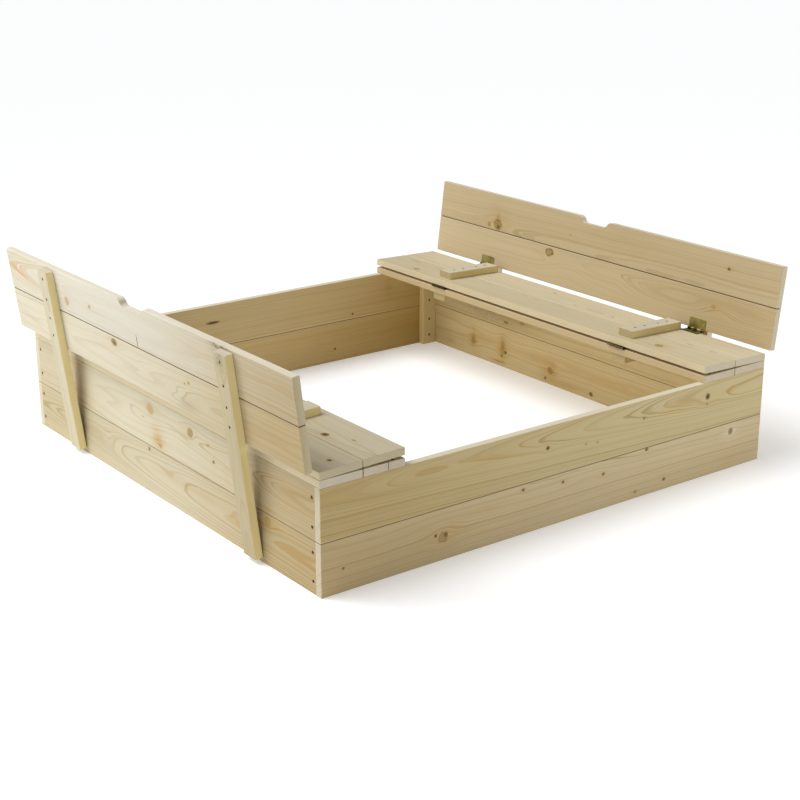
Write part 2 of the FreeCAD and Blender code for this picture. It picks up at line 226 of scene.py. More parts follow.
class Look:
    """How one board differs from another.

    The pith is where the middle of the log lies, in mm of (v, w) from the board's own middle, and
    the spacing is that of its growth rings, in mm. Slope is how fast the pith comes nearer along the
    board, and wander how much the grain strays. Face is 1 if the marks are placed on the side that
    looks outward or up, and -1 if they are placed on the other. Swells are ovals in the rings, of an
    amount of rings. Stains, browns and smudges are amber, brown and mottled grey patches in the skin
    of that side, and the darkening patches there are painted shade. Some stains and browns are
    painted shade too: the warm wash over the inner faces of the box, the darker ends of boards, the
    shadow beside the far strut and the corner under the right seat. Splits are thin dark checks.
    Seams are the edges, -1 or 1, that lie against a neighbour; their groove is darkened with
    painted shade.
    """

    def __init__(self, tone="plain", pith=None, spacing=3.6, grain=1.0, face=1, **marks):
        self.tone = tone
        self.pith = pith
        self.spacing = spacing * MM
        self.grain = grain
        self.face = face
        # the colour that paints the narrow faces lighter as a highlight, and tan darker as shade
        self.edge = marks.get("edge", "pale")
        self.end = marks.get("end", "grey")
        self.slope = marks.get("slope")
        self.wander = marks.get("wander", 1.0)
        self.knots = marks.get("knots", ())
        self.swells = marks.get("swells", ())
        self.stains_and_shade = marks.get("stains_and_shade", ())
        self.browns = marks.get("browns", ())
        self.smudges = marks.get("smudges", ())
        self.painted_shades = marks.get("painted_shades", ())
        self.splits = marks.get("splits", ())
        self.shaded_seams = marks.get("shaded_seams", ())


# early wood and late wood of each tone
TONES = {
    "plain": (rgb(0.620, 0.510, 0.310), rgb(0.440, 0.310, 0.145)),
    "fair": (rgb(0.685, 0.570, 0.325), rgb(0.480, 0.335, 0.145)),
    "pale": (rgb(0.630, 0.575, 0.435), rgb(0.450, 0.350, 0.205)),
    "white": (rgb(0.640, 0.595, 0.490), rgb(0.470, 0.380, 0.245)),
    "cream": (rgb(0.640, 0.560, 0.385), rgb(0.480, 0.370, 0.190)),
    "warm": (rgb(0.600, 0.480, 0.290), rgb(0.430, 0.300, 0.135)),
    "olive": (rgb(0.600, 0.500, 0.275), rgb(0.430, 0.325, 0.135)),
    "golden": (rgb(0.620, 0.485, 0.240), rgb(0.440, 0.305, 0.110)),
}
# painted light and shade on the long narrow faces: pale, straw and golden paint them lighter as highlights, and
# tan paints edges in shade, as on the fixed seats and the battens under them, darker
NARROW_FACE_LIGHT_AND_SHADE = {
    "pale": rgb(0.760, 0.700, 0.560),
    "golden": rgb(0.900, 0.750, 0.340),
    "straw": rgb(0.680, 0.560, 0.340),
    "tan": rgb(0.560, 0.420, 0.220),
}
ENDS = {
    "grey": rgb(0.610, 0.550, 0.430),
    "olive": rgb(0.520, 0.450, 0.280),
    "tan": rgb(0.450, 0.345, 0.150),
}
AMBER = rgb(0.520, 0.330, 0.095)
# brown of marks in the wood, and of painted shade in the corner under the right seat
BROWN = rgb(0.300, 0.185, 0.032)
SMUDGE = rgb(0.260, 0.210, 0.130)
KNOT_PALE = rgb(0.470, 0.300, 0.090)
KNOT_DARK = rgb(0.084, 0.039, 0.010)
BLEACHED = rgb(0.720, 0.640, 0.500)
# painted shade: the tint multiplied in where a board lies in less light
PAINTED_SHADE_TINT = rgb(0.780, 0.720, 0.580)
CRACK = rgb(0.030, 0.020, 0.010)
# painted shade in the groove where two boards meet
SEAM_SHADE = rgb(0.150, 0.088, 0.028)


def build_oval(g, inputs):
    """A soft oval: its amount at the middle, falling off all round."""
    offset = g.node("VectorMath", {0: inputs["place"], 1: inputs["centre"]}, operation="SUBTRACT")
    split = g.node("SeparateXYZ", {0: offset.outputs[0]}).outputs
    size = g.node("SeparateXYZ", {0: inputs["size"]}).outputs
    a = g.math("DIVIDE", split[0], size[0])
    b = g.math("DIVIDE", g.minus(split[1], g.times(split[0], inputs["slant"])), size[1])
    c = g.math("DIVIDE", split[2], size[2])
    fall = g.math("EXPONENT", g.times(g.add(g.times(a, a), g.times(b, b), g.times(c, c)), -1.0))
    return {"value": g.times(fall, inputs["amount"])}


def build_knot(g, inputs):
    """What one knot does to the wood: its masks, and how far it pushes the grain aside."""
    place = inputs["place"]
    radius = inputs["radius"]
    offset = g.node("VectorMath", {0: place, 1: inputs["centre"]}, operation="SUBTRACT")
    split = g.node("SeparateXYZ", {0: offset.outputs[0]}).outputs
    across = g.minus(split[1], g.times(split[2], inputs["lean"]))
    a = g.math("DIVIDE", split[0], g.times(radius, inputs["stretch"]))
    b = g.math("DIVIDE", across, radius)
    wobble = inputs["wobble"]
    grit = inputs["grit"]
    reach = g.math("SQRT", g.add(g.times(a, a), g.times(b, b)))
    reach = g.times(reach, g.add(1.0, wobble))
    inside = g.smooth(g.add(reach, g.times(grit, 0.3)), 1.15, 0.60)
    heart = g.smooth(g.add(reach, g.times(grit, 0.6)), 1.05, 0.40)
    ring_shape = g.smooth(g.math("ABSOLUTE", g.minus(reach, 0.95)), 0.34, 0.02)
    rim = g.times(ring_shape, g.smooth(grit, -0.55, 0.10))
    rings = g.math("SINE", g.add(g.times(reach, 17.0), g.times(grit, 3.0)))
    far = g.add(g.times(a, a, 0.08), g.times(b, b, 0.20))
    near = g.math("EXPONENT", g.times(far, -1.0))
    push = g.times(across, near, inputs["halo"], -0.82)
    line = g.add(g.times(a, 0.45), b, g.times(wobble, 2.5), g.times(grit, 0.5))
    slit = g.smooth(g.math("ABSOLUTE", line), 0.18, 0.02)
    crack = g.times(slit, heart, heart, inputs["crack"])
    return {
        "push": g.add(inputs["push"], push),
        "near": near,
        "inside": inside,
        "heart": heart,
        "rim": rim,
        "rings": g.math("MAXIMUM", rings, 0.0),
        "crack": crack,
    }


def build_knot_colour(g, inputs):
    """Colours a knot and the wood round it."""
    dark = inputs["dark"]
    inside = inputs["inside"]
    golden = g.add(g.times(inputs["near"], 0.18), g.times(inside, 0.35))
    colour = g.mix(golden, inputs["colour"], AMBER)
    halo = g.times(inputs["near"], g.minus(1.0, inside), inputs["pale"])
    colour = g.mix(halo, colour, BLEACHED)
    core = g.mix(g.times(inputs["heart"], dark), KNOT_PALE, KNOT_DARK)
    core = g.mix(g.times(inputs["rings"], g.add(0.15, g.times(dark, 0.5))), core, KNOT_DARK)
    colour = g.mix(g.times(inside, g.add(0.45, g.times(dark, 0.53))), colour, core)
    rim = g.times(inputs["rim"], g.add(inputs["edge"], g.times(dark, 0.5)))
    colour = g.mix(rim, colour, KNOT_DARK)
    return {"colour": colour}


def build_late_wood(g, inputs):
    """Thin dark lines where the growth rings come to the surface, as they lie round the pith."""
    own = inputs["own"]
    spacing = inputs["spacing"]
    split = g.node("SeparateXYZ", {0: inputs["place"]}).outputs
    pith = g.node("SeparateXYZ", {0: inputs["pith"]}).outputs
    v = g.minus(g.add(split[1], inputs["push"]), pith[1])
    w = g.minus(split[2], pith[2])
    distance = g.add(
        g.math("SQRT", g.add(g.times(v, v), g.times(w, w))),
        g.times(split[0], inputs["slope"]),
        g.times(inputs["swell"], spacing),
        g.times(g.swing(g.scaled(own, (1.6, 3.0, 3.0)), 0.035, detail=1.0), inputs["wander"]),
        g.swing(g.scaled(own, (7.0, 26.0, 26.0)), 0.0022),
        g.swing(g.scaled(own, (22.0, 60.0, 60.0)), 0.0006, detail=1.0),
    )
    turns = g.math("DIVIDE", distance, spacing)
    uneven = g.node("TexNoise", {"W": g.times(turns, 0.31)}, noise_dimensions="1D").outputs[0]
    turns = g.add(turns, g.times(g.minus(uneven, 0.5), 1.5))
    phase = g.math("FRACT", turns)
    year = g.math("FLOOR", turns)
    vigour = g.node("TexWhiteNoise", {"W": year}, noise_dimensions="1D").outputs["Value"]
    line = g.times(g.smooth(phase, 0.40, 0.92), g.smooth(phase, 1.0, 0.955))
    haze = g.smooth(phase, 0.0, 1.0)
    strength = g.lerp(g.times(vigour, vigour), 0.35, 1.1)
    patchy = g.add(0.55, g.noise(g.scaled(own, (2.5, 30.0, 30.0))))
    shape = g.add(g.times(line, 0.82), g.times(haze, 0.18))
    return {"late": g.times(shape, strength, patchy, inputs["grain"])}


def build_planed_wood(g, inputs):
    """Colour, shade, height and roughness of planed spruce, before its knots."""
    own = inputs["own"]
    late = inputs["late"]
    fibre = g.noise(g.scaled(own, (10.0, 520.0, 520.0)), detail=3.0, roughness=0.6)
    band = g.noise(g.scaled(own, (2.0, 110.0, 110.0)), detail=2.0)
    fleck = g.smooth(g.noise(g.scaled(own, (60.0, 900.0, 900.0)), detail=1.0), 0.68, 0.80)
    cloud = g.noise(g.scaled(own, (3.0, 14.0, 14.0)), detail=3.0)
    streak = g.smooth(g.noise(g.scaled(own, (3.0, 40.0, 40.0)), detail=1.0), 0.62, 0.85)
    amber = g.add(inputs["amber"], g.times(streak, 0.35))
    colour = g.mix(g.times(late, 0.95), inputs["early"], inputs["dark"])
    # amber stains in the wood, and painted shade where some of them lie over board ends and inner faces
    colour = g.mix(g.times(amber, g.add(0.30, late)), colour, AMBER)
    # brown marks, and painted shade in the corner under the right seat
    colour = g.mix(inputs["brown"], colour, BROWN)
    mottle = g.smooth(g.noise(g.scaled(own, (160.0, 240.0, 240.0)), detail=4.0, roughness=0.7), 0.30, 0.75)
    colour = g.mix(g.times(inputs["smudge"], mottle), colour, SMUDGE)
    # painted shade: darkens the wood where the board lies in less light
    colour = g.mix(inputs["dim"], colour, PAINTED_SHADE_TINT, blend="MULTIPLY")
    shade = g.add(
        0.84,
        g.times(fibre, 0.14),
        g.times(band, 0.10),
        g.times(cloud, 0.12),
        g.times(fleck, -0.10),
    )
    height = g.add(g.times(late, 0.00005), g.times(fibre, 0.00006), g.times(fleck, -0.00005))
    roughness = g.add(0.60, g.times(fibre, 0.16), g.times(late, -0.10))
    return {"colour": colour, "shade": shade, "height": height, "roughness": roughness}


OVAL = node_group(
    "oval",
    {"place": "Vector", "centre": "Vector", "size": "Vector", "slant": "Float", "amount": "Float"},
    {"value": "Float"},
    build_oval,
)
KNOT = node_group(
    "knot",
    {
        "place": "Vector", "centre": "Vector", "lean": "Float", "radius": "Float",
        "stretch": "Float", "halo": "Float", "crack": "Float", "push": "Float",
        "wobble": "Float", "grit": "Float",
    },
    {
        "push": "Float", "near": "Float", "inside": "Float", "heart": "Float",
        "rim": "Float", "rings": "Float", "crack": "Float",
    },
    build_knot,
)
KNOT_COLOUR = node_group(
    "knot_colour",
    {
        "colour": "Color", "near": "Float", "inside": "Float", "heart": "Float",
        "rim": "Float", "rings": "Float", "dark": "Float", "pale": "Float", "edge": "Float",
    },
    {"colour": "Color"},
    build_knot_colour,
)
LATE_WOOD = node_group(
    "late_wood",
    {
        "place": "Vector", "own": "Vector", "push": "Float", "swell": "Float",
        "pith": "Vector", "slope": "Float", "spacing": "Float", "grain": "Float", "wander": "Float",
    },
    {"late": "Float"},
    build_late_wood,
)
PLANED_WOOD = node_group(
    "planed_wood",
    {
        "own": "Vector", "late": "Float", "amber": "Float", "brown": "Float", "smudge": "Float",
        "dim": "Float", "early": "Color", "dark": "Color",
    },
    {"colour": "Color", "shade": "Float", "height": "Float", "roughness": "Float"},
    build_planed_wood,
)


def patches(g, place, board, marks, face=0, depth=1.0):
    """The sum of soft ovals, in the middle of the board or in the skin of one face."""
    total = 0.0
    for mark in marks:
        value = g.group(
            OVAL,
            place=place,
            centre=(mark.along * board.half[0], mark.across * board.half[1], face * board.half[2]),
            size=(mark.length, mark.width, depth),
            slant=mark.slant,
            amount=mark.amount,
        )["value"]
        total = g.add(total, value)
    return total


def knots_in(g, place, board, look, pith):
    """The groups of all the knots of a board. Each passes on how far the grain is pushed aside."""
    wobble = g.swing(g.sized(place, 85.0), 0.9)
    grit = g.swing(g.sized(place, 480.0), 1.2, detail=3.0)
    surface = look.face * board.half[2]
    rise = surface - pith[1]
    push = 0.0
    made = []
    for knot in look.knots:
        centre = (knot.along * board.half[0], knot.across * board.half[1], surface)
        lean = (centre[1] - pith[0]) / rise if abs(rise) > 0.02 else 0.0
        made.append(g.group(
            KNOT,
            place=place,
            centre=centre,
            lean=max(-0.8, min(0.8, lean)),
            radius=knot.radius,
            stretch=knot.stretch,
            halo=knot.halo,
            crack=knot.crack,
            push=push,
            wobble=wobble,
            grit=grit,
        ))
        push = made[-1]["push"]
    return made, push


def wood_material(board, look):
    """Planed spruce for one board."""
    chance = random.Random(board.name)
    material, g, surface = new_material("spruce_" + board.name)
    coordinates = g.node("TexCoord")
    at = coordinates.outputs["Object"]
    place = g.point(
        g.minus(g.dot(at, board.u), board.centre[0]),
        g.minus(g.dot(at, board.v), board.centre[1]),
        g.minus(g.dot(at, board.w), board.centre[2]),
    )
    own = g.moved(place, Vector([chance.uniform(-40, 40) for _ in range(3)]))
    usual_pith = (chance.uniform(-30, 30), -look.face * chance.uniform(45, 95))
    usual_slope = chance.uniform(0.003, 0.009) * chance.choice((-1, 1))
    pith = [value * MM for value in look.pith or usual_pith]
    knots, push = knots_in(g, place, board, look, pith)
    late = g.group(
        LATE_WOOD,
        place=place,
        own=own,
        push=push,
        swell=patches(g, place, board, look.swells),
        pith=(0, pith[0], pith[1]),
        slope=usual_slope if look.slope is None else look.slope,
        spacing=look.spacing,
        grain=look.grain,
        wander=look.wander,
    )["late"]
    early_colour, late_colour = TONES[look.tone]
    wood = g.group(
        PLANED_WOOD,
        own=own,
        late=late,
        # amber and brown patches, some of them painted shade; mottled grey dirt; and darkening patches of painted
        # shade
        amber=patches(g, place, board, look.stains_and_shade, look.face, SKIN),
        brown=patches(g, place, board, look.browns, look.face, SKIN),
        smudge=patches(g, place, board, look.smudges, look.face, SKIN),
        dim=patches(g, place, board, look.painted_shades, look.face, SKIN),
        early=early_colour,
        dark=late_colour,
    )
    colour = wood["colour"]
    height = wood["height"]
    roughness = wood["roughness"]
    checks = g.smooth(patches(g, place, board, look.splits), 0.2, 0.5)
    for knot, field in zip(look.knots, knots):
        shared = {key: field[key] for key in ("near", "inside", "heart", "rim", "rings")}
        own_look = {"dark": knot.dark, "pale": knot.pale, "edge": knot.rim}
        colour = g.group(KNOT_COLOUR, colour=colour, **own_look, **shared)["colour"]
        checks = g.math("MAXIMUM", checks, field["crack"])
        height = g.add(height, g.times(field["inside"], 0.00006))
        roughness = g.minus(roughness, g.times(field["inside"], 0.14))

    # sawn ends, painted highlight and shade on the long narrow faces, painted shade in the seams, and checks
    normal = coordinates.outputs["Normal"]
    # painted highlight on light edge colours and painted shade on tan ones, over the long narrow faces
    side_on = g.smooth(g.math("ABSOLUTE", g.dot(normal, board.v)), 0.3, 0.9)
    colour = g.mix(g.times(side_on, 0.75), colour, NARROW_FACE_LIGHT_AND_SHADE[look.edge])
    end = g.smooth(g.math("ABSOLUTE", g.dot(normal, board.u)), 0.55, 0.9)
    end_colour = g.mix(g.times(late, 0.55), ENDS[look.end], late_colour)
    colour = g.mix(g.times(end, 0.8), colour, end_colour)
    roughness = g.add(roughness, g.times(end, 0.12))
    colour = g.sized(colour, wood["shade"])
    split = g.node("SeparateXYZ", {0: place}).outputs
    # painted shade along the edges that lie against a neighbour, where the groove is in shade
    for side in look.shaded_seams:
        depth = g.minus(board.half[1], g.times(split[1], side))
        colour = g.mix(g.times(g.smooth(depth, 0.0012, 0.0003), 0.85), colour, SEAM_SHADE)
    colour = g.mix(checks, colour, CRACK)
    height = g.minus(height, g.times(checks, 0.0008))

    bump = g.node("Bump", {"Height": height, "Distance": 1.0, "Strength": 1.0})
    g.feed(surface.inputs["Base Color"], colour)
    g.feed(surface.inputs["Roughness"], roughness)
    g.feed(surface.inputs["Normal"], bump.outputs[0])
    g.feed(surface.inputs["Specular IOR Level"], 0.3)
    return material


# ---------------------------------------------------------------- metal


def zinc_material(name, light, dark, worn, gloss):
    """Yellow-passivated zinc on rolled sheet: clouds of two colours, and a fine rubbed grain."""
    material, g, surface = new_material(name)
    at = g.node("TexCoord").outputs["Object"]
    cloud = g.noise(at, scale=45.0, detail=5.0)
    spots = g.smooth(g.noise(at, scale=600.0, detail=2.0), 0.62, 0.74)
    rolled = g.noise(g.scaled(at, (1400.0, 120.0, 1400.0)), detail=2.0)
    colour = g.mix(g.smooth(cloud, 0.35, 0.65), light, dark)
    colour = g.mix(g.times(spots, 0.30), colour, dark)
    colour = g.mix(g.times(g.smooth(rolled, 0.5, 0.8), 0.4), colour, worn)
    g.feed(surface.inputs["Base Color"], colour)
    g.feed(surface.inputs["Metallic"], 1.0)
    g.feed(surface.inputs["Roughness"], g.add(gloss, g.times(rolled, 0.2), g.times(spots, 0.1)))
    height = g.add(g.times(rolled, 0.00002), g.times(spots, -0.00003))
    bump = g.node("Bump", {"Height": height, "Distance": 1.0, "Strength": 1.0})
    g.feed(surface.inputs["Normal"], bump.outputs[0])
    return material


def screw_material(name, dark, light):
    """Steel screws with a cloudy coating."""
    material, g, surface = new_material(name)
    at = g.node("TexCoord").outputs["Object"]
    cloud = g.noise(at, scale=700.0, detail=2.0)
    g.feed(surface.inputs["Base Color"], g.mix(cloud, dark, light))
    g.feed(surface.inputs["Metallic"], 1.0)
    g.feed(surface.inputs["Roughness"], g.lerp(cloud, 0.35, 0.6))
    bump = g.node("Bump", {"Height": g.times(cloud, 0.00003), "Distance": 1.0, "Strength": 1.0})
    g.feed(surface.inputs["Normal"], bump.outputs[0])
    return material


# ---------------------------------------------------------------- which piece wears what


LOOKS = {
    # the left end is painted shade: darker and warmer under its last stain and its darkening patch
    "front_wall_upper_board": Look(
        "olive", (30, -60.5), 3.6, 1.10, shaded_seams=(-1,), slope=-0.022, wander=0.25,
        knots=[
            Knot(-0.075, 0.15, 4.5, 1.0, 1.0, 1.6), Knot(0.70, 0.42, 6.5, 1.0, 0.9, 1.6),
            Knot(0.70, 0.10, 2.5, 0.4, 1.2, 0.5), Knot(0.377, 0.25, 2.5, 0.6),
            Knot(0.155, -0.18, 2.0, 0.5), Knot(0.10, -0.12, 2.0, 0.3),
        ],
        swells=[Patch(-0.60, 0.53, 60, 14, -0.8), Patch(0.90, 0.20, 80, 14, -1.2)],
        stains_and_shade=[
            Patch(-0.93, 0.50, 70, 18, 0.30), Patch(-0.60, 0.50, 70, 15, 0.45),
            Patch(-0.28, 0.45, 80, 12, 0.55, 0.12), Patch(-0.20, 0.18, 60, 6, 0.5, -0.10),
            Patch(0.02, 0.82, 110, 6, 0.6), Patch(0.54, 0.38, 45, 11, 0.75, 0.06),
            Patch(0.84, 0.45, 70, 6, 0.6, 0.15), Patch(-1.0, 0.0, 450, 160, 0.45),
        ],
        painted_shades=[Patch(-1.0, 0.0, 420, 160, 0.55)],
    ),
    # the left end is painted shade, under its last stain and its darkening patch
    "front_wall_lower_board": Look(
        "plain", (54, -56), 3.3, 0.90, shaded_seams=(1,), slope=-0.006, wander=0.4,
        knots=[
            Knot(0.837, 0.62, 7, 0.60, 1.0, 1.6, 0.0, 0.55), Knot(-0.522, -0.10, 10, 0.30, 1.05, 1.2, rim=0.3),
            Knot(-0.512, -0.03, 5.5, 0.85, 1.0, 0.0, rim=0.0),
            Knot(-0.552, 0.03, 3.5, 1.0, 0.8, 0.2), Knot(-0.18, 0.78, 3.5, 0.8),
            Knot(0.0, 0.62, 3.0, 0.75), Knot(0.19, 0.45, 3.5, 0.75), Knot(0.398, 0.93, 3.5, 0.8),
            Knot(0.495, -0.56, 3.5, 0.8), Knot(0.35, -0.72, 3.5, 0.3), Knot(-0.917, -0.11, 2.5, 0.8),
        ],
        swells=[Patch(-0.50, 0.45, 110, 14, 1.2), Patch(0.12, 0.5, 50, 12, 1.2)],
        stains_and_shade=[
            Patch(-0.46, -0.05, 40, 16, 0.25), Patch(0.84, -0.60, 50, 16, 0.40),
            Patch(-0.3, 0.6, 60, 8, 0.3), Patch(-1.0, 0.0, 480, 160, 0.15),
        ],
        painted_shades=[Patch(-1.0, 0.0, 420, 160, 0.68)],
        splits=[Patch(0.285, 0.45, 55, 0.5, 0.28, -0.95)],
    ),
    # both ends are painted shade, under the stains and darkening patches at -1.0 and 1.0
    "left_wall_upper_board": Look(
        "pale", (10, -60), 3.6, 0.72, shaded_seams=(-1,),
        knots=[
            Knot(0.065, 0.56, 11, 0.0, 1.4, 1.3, rim=0.1), Knot(-0.223, 0.47, 9, 0.45, 1.2, 1.3),
            Knot(-0.38, -0.18, 3.5, 0.85), Knot(-0.345, 0.35, 2.5, 0.5), Knot(0.0, -0.75, 5, 0.25, 1.4),
        ],
        swells=[Patch(0.35, 0.1, 90, 14, 1.2), Patch(-0.1, -0.2, 120, 16, 1.3)],
        stains_and_shade=[
            Patch(0.015, -0.50, 26, 24, 1.6), Patch(-0.20, 0.30, 22, 20, 0.45),
            Patch(0.80, -0.25, 20, 26, 0.8), Patch(0.78, 0.45, 14, 10, 0.5), Patch(-0.72, -0.85, 26, 8, 0.7),
            # this patch is painted shade: the warm shadow of the far strut on the wall
            Patch(0.655, 0.1, 50, 70, 1.2),
            Patch(0.065, 0.56, 9, 13, 0.9), Patch(-1.0, 0.0, 340, 160, 0.85), Patch(1.0, 0.0, 300, 160, 0.25),
        ],
        browns=[
            Patch(0.015, -0.60, 14, 16, 0.14), Patch(0.065, 0.56, 14, 11, 0.10), Patch(0.80, -0.38, 7, 12, 0.45),
        ],
        painted_shades=[Patch(-1.0, 0.0, 360, 160, 0.95), Patch(1.0, 0.0, 380, 160, 0.55)],
    ),
    # both ends are painted shade, under the stains and darkening patches at -1.0 and 1.0, and the whole board is
    # darkened a little with painted shade
    "left_wall_lower_board": Look(
        "pale", (6, -52), 4.2, 0.75, shaded_seams=(1,), slope=0.020, wander=0.4,
        knots=[Knot(0.086, 0.84, 3.5, 0.8, 1.2), Knot(-0.72, 0.72, 8, 0.15, 1.3, 1.3)],
        swells=[
            Patch(0.41, 0.20, 45, 22, 1.1), Patch(-0.08, 0.2, 60, 16, 1.0, 0.05),
            Patch(-0.42, 0.15, 70, 12, 0.8),
        ],
        stains_and_shade=[
            Patch(-0.08, 0.25, 80, 10, 0.5), Patch(-0.30, 0.20, 60, 9, 0.7),
            Patch(-0.56, -0.10, 50, 8, 0.8, 0.2), Patch(-0.72, 0.72, 35, 12, 0.8),
            Patch(-1.0, 0.0, 340, 160, 1.0), Patch(1.0, 0.0, 300, 160, 0.25),
        ],
        painted_shades=[
            Patch(0.0, 0.0, 3000, 400, 0.3), Patch(-1.0, 0.0, 360, 160, 0.8), Patch(1.0, 0.0, 420, 160, 0.6),
        ],
    ),
    # the near end is painted shade, under its stain and darkening patch at -1.0
    "left_backrest_lower_board": Look(
        "pale", (-8, -62), 3.6, 0.70, shaded_seams=(1,), end="olive", wander=0.7,
        knots=[
            Knot(0.175, 0.70, 7.5, 0.85, 1.4, 1.3), Knot(-0.34, 0.52, 3.5, 0.45),
            Knot(-0.31, 0.40, 2.0, 0.4),
        ],
        swells=[Patch(-0.05, -0.2, 150, 18, 1.6), Patch(0.05, 0.3, 90, 12, 1.2)],
        stains_and_shade=[
            Patch(-0.70, -0.55, 30, 14, 0.4), Patch(0.86, -0.3, 60, 6, 0.5, 0.25),
            Patch(-1.0, 0.0, 360, 160, 1.0),
        ],
        browns=[Patch(-0.31, -0.62, 42, 15, 0.28, -0.15)],
        painted_shades=[Patch(-1.0, 0.0, 360, 160, 1.1)],
    ),
    # the near end is painted shade, under its stain and darkening patch at -1.0
    "left_backrest_upper_board": Look(
        "white", (10, -72), 3.4, 0.5, shaded_seams=(-1,), end="olive",
        knots=[Knot(0.33, -0.10, 4, 0.35), Knot(0.52, -0.35, 9, 0.10, 1.0, 1.0)],
        smudges=[Patch(-0.59, 0.84, 34, 14, 2.0, 0.1)],
        splits=[Patch(-0.010, -0.68, 1.1, 15, 0.95)],
        stains_and_shade=[
            Patch(0.90, 0.0, 50, 6, 0.6, 0.3), Patch(1.0, 0.3, 200, 80, 0.55), Patch(-1.0, 0.0, 360, 160, 0.8),
        ],
        painted_shades=[Patch(-1.0, 0.0, 360, 160, 1.0)],
    ),
    # the whole board is darkened a little with painted shade
    "right_backrest_upper_board": Look(
        "warm", (-40, 60), 2.6, 0.8, face=-1, shaded_seams=(-1,), wander=0.5,
        knots=[
            Knot(0.595, -0.66, 12, 0.50, 1.25, 1.4, rim=0.35), Knot(0.592, -0.76, 5, 0.95, 1.4, 0.0, rim=0.0),
            Knot(0.655, -0.74, 6, 0.4, 1.0, 0.6),
            Knot(-0.748, 0.24, 3.5, 0.9), Knot(0.13, -0.15, 2.0, 0.4),
        ],
        stains_and_shade=[Patch(0.60, -0.2, 40, 26, 0.55), Patch(-0.2, 0.3, 120, 14, 0.25)],
        painted_shades=[Patch(0.0, 0.0, 3000, 400, 0.25)],
        browns=[Patch(0.600, -0.42, 9, 17, 0.55)],
    ),
    # the near end is painted shade, under its stain and darkening patch at -1.0
    "right_backrest_lower_board": Look(
        "warm", (14, 52), 3.4, 0.62, face=-1, shaded_seams=(1,), wander=0.6,
        knots=[Knot(0.248, 0.66, 9.5, 0.35, 1.35, 1.5, rim=0.65), Knot(-0.70, 0.28, 5, 0.10)],
        swells=[
            Patch(0.12, -0.1, 90, 26, 2.6), Patch(-0.16, 0.0, 70, 20, 1.6), Patch(-0.72, 0.1, 60, 18, 1.8),
        ],
        stains_and_shade=[Patch(-0.72, 0.0, 40, 20, 0.4), Patch(-1.0, 0.0, 300, 160, 0.4)],
        painted_shades=[Patch(-1.0, 0.0, 420, 160, 0.35)],
    ),
    # the whole board is darkened a little with painted shade
    "right_moving_seat_inner_board": Look(
        "cream", (30, -60), 3.4, 0.55, edge="straw",
        knots=[Knot(0.757, -0.52, 5.5, 0.35, 1.9), Knot(-0.712, -0.25, 8, 0.42, 1.3, 1.2)],
        swells=[Patch(-0.9, 0.2, 60, 16, 1.4)],
        stains_and_shade=[Patch(-0.72, -0.1, 26, 14, 0.4)],
        painted_shades=[Patch(0.0, 0.0, 3000, 400, 0.25)],
    ),
    "right_moving_seat_outer_board": Look(
        "cream", (-20, -62), 3.6, 0.6, edge="straw",
        knots=[Knot(0.1, 0.3, 3, 0.4)],
        swells=[Patch(0.2, -0.1, 130, 16, 1.6)],
        stains_and_shade=[Patch(-0.09, 0.0, 200, 2.5, 0.6)],
        splits=[Patch(-0.77, -0.93, 22, 1.1, 0.5), Patch(-0.88, -0.93, 16, 0.9, 0.6)],
    ),
    # darkened towards the near end with painted shade
    "left_moving_seat_inner_board": Look(
        "pale", (20, -55), 3.6, 0.7, edge="straw", end="olive",
        knots=[Knot(-0.748, 0.62, 6, 0.95, 1.6), Knot(-0.85, 0.12, 3, 0.35), Knot(0.3, -0.2, 7, 0.4)],
        painted_shades=[Patch(-1.0, 0.0, 900, 200, 0.45)],
    ),
    # darkened towards the near end with painted shade
    "left_moving_seat_outer_board": Look(
        "pale", (0, -60), 3.6, 0.7, edge="straw", end="olive",
        knots=[Knot(-0.938, 0.0, 4, 0.95), Knot(0.2, 0.1, 7, 0.4)],
        painted_shades=[Patch(-1.0, 0.0, 900, 200, 0.45)],
    ),
    # the warm wash over the whole inner face is painted shade of the inside of the box; the stain and brown patch
    # at the right end are painted shade in the corner under the right seat
    "back_wall_upper_board": Look(
        "fair", (-85, 60), 3.0, 0.40, face=-1, shaded_seams=(-1,), slope=0.002, wander=0.3,
        knots=[Knot(-0.207, 0.18, 3.2, 1.0, 6.0, 1.0), Knot(0.517, -0.75, 2.5, 0.9)],
        stains_and_shade=[
            Patch(0.0, 0.0, 3000, 400, 1.0), Patch(0.72, 0.2, 14, 22, 0.6),
            Patch(1.0, -0.2, 420, 120, 0.8),
        ],
        browns=[Patch(1.05, -0.6, 260, 60, 0.55)],
    ),
    # the warm wash over the whole inner face is painted shade of the inside of the box; the stain and brown patch
    # at the right end are painted shade in the corner under the right seat
    "back_wall_lower_board": Look(
        "fair", (90, 56), 2.8, 0.35, face=-1, shaded_seams=(1,), slope=0.002, wander=0.3,
        knots=[Knot(0.418, -0.35, 3.5, 0.95), Knot(-0.5, 0.2, 8, 0.4)],
        stains_and_shade=[Patch(0.0, 0.0, 3000, 400, 1.0), Patch(0.9, 0.0, 600, 120, 1.2)],
        browns=[Patch(1.0, -0.2, 330, 90, 0.75)],
    ),
    # the warm wash over the whole inner face is painted shade of the inside of the box
    "right_wall_lower_board": Look(
        "fair", (8, 56), 3.8, 0.6, face=-1, shaded_seams=(1,), wander=0.5,
        knots=[
            Knot(0.68, -0.15, 11, 0.40, 0.7, rim=0.0), Knot(0.47, 0.0, 15, 0.35, 0.4, rim=0.0),
            Knot(0.45, -0.22, 4.5, 0.85), Knot(0.475, -0.45, 3.5, 0.7), Knot(0.145, -0.30, 8, 0.5),
            Knot(0.175, -0.75, 4, 0.8), Knot(-0.12, -0.71, 5, 0.9),
        ],
        stains_and_shade=[
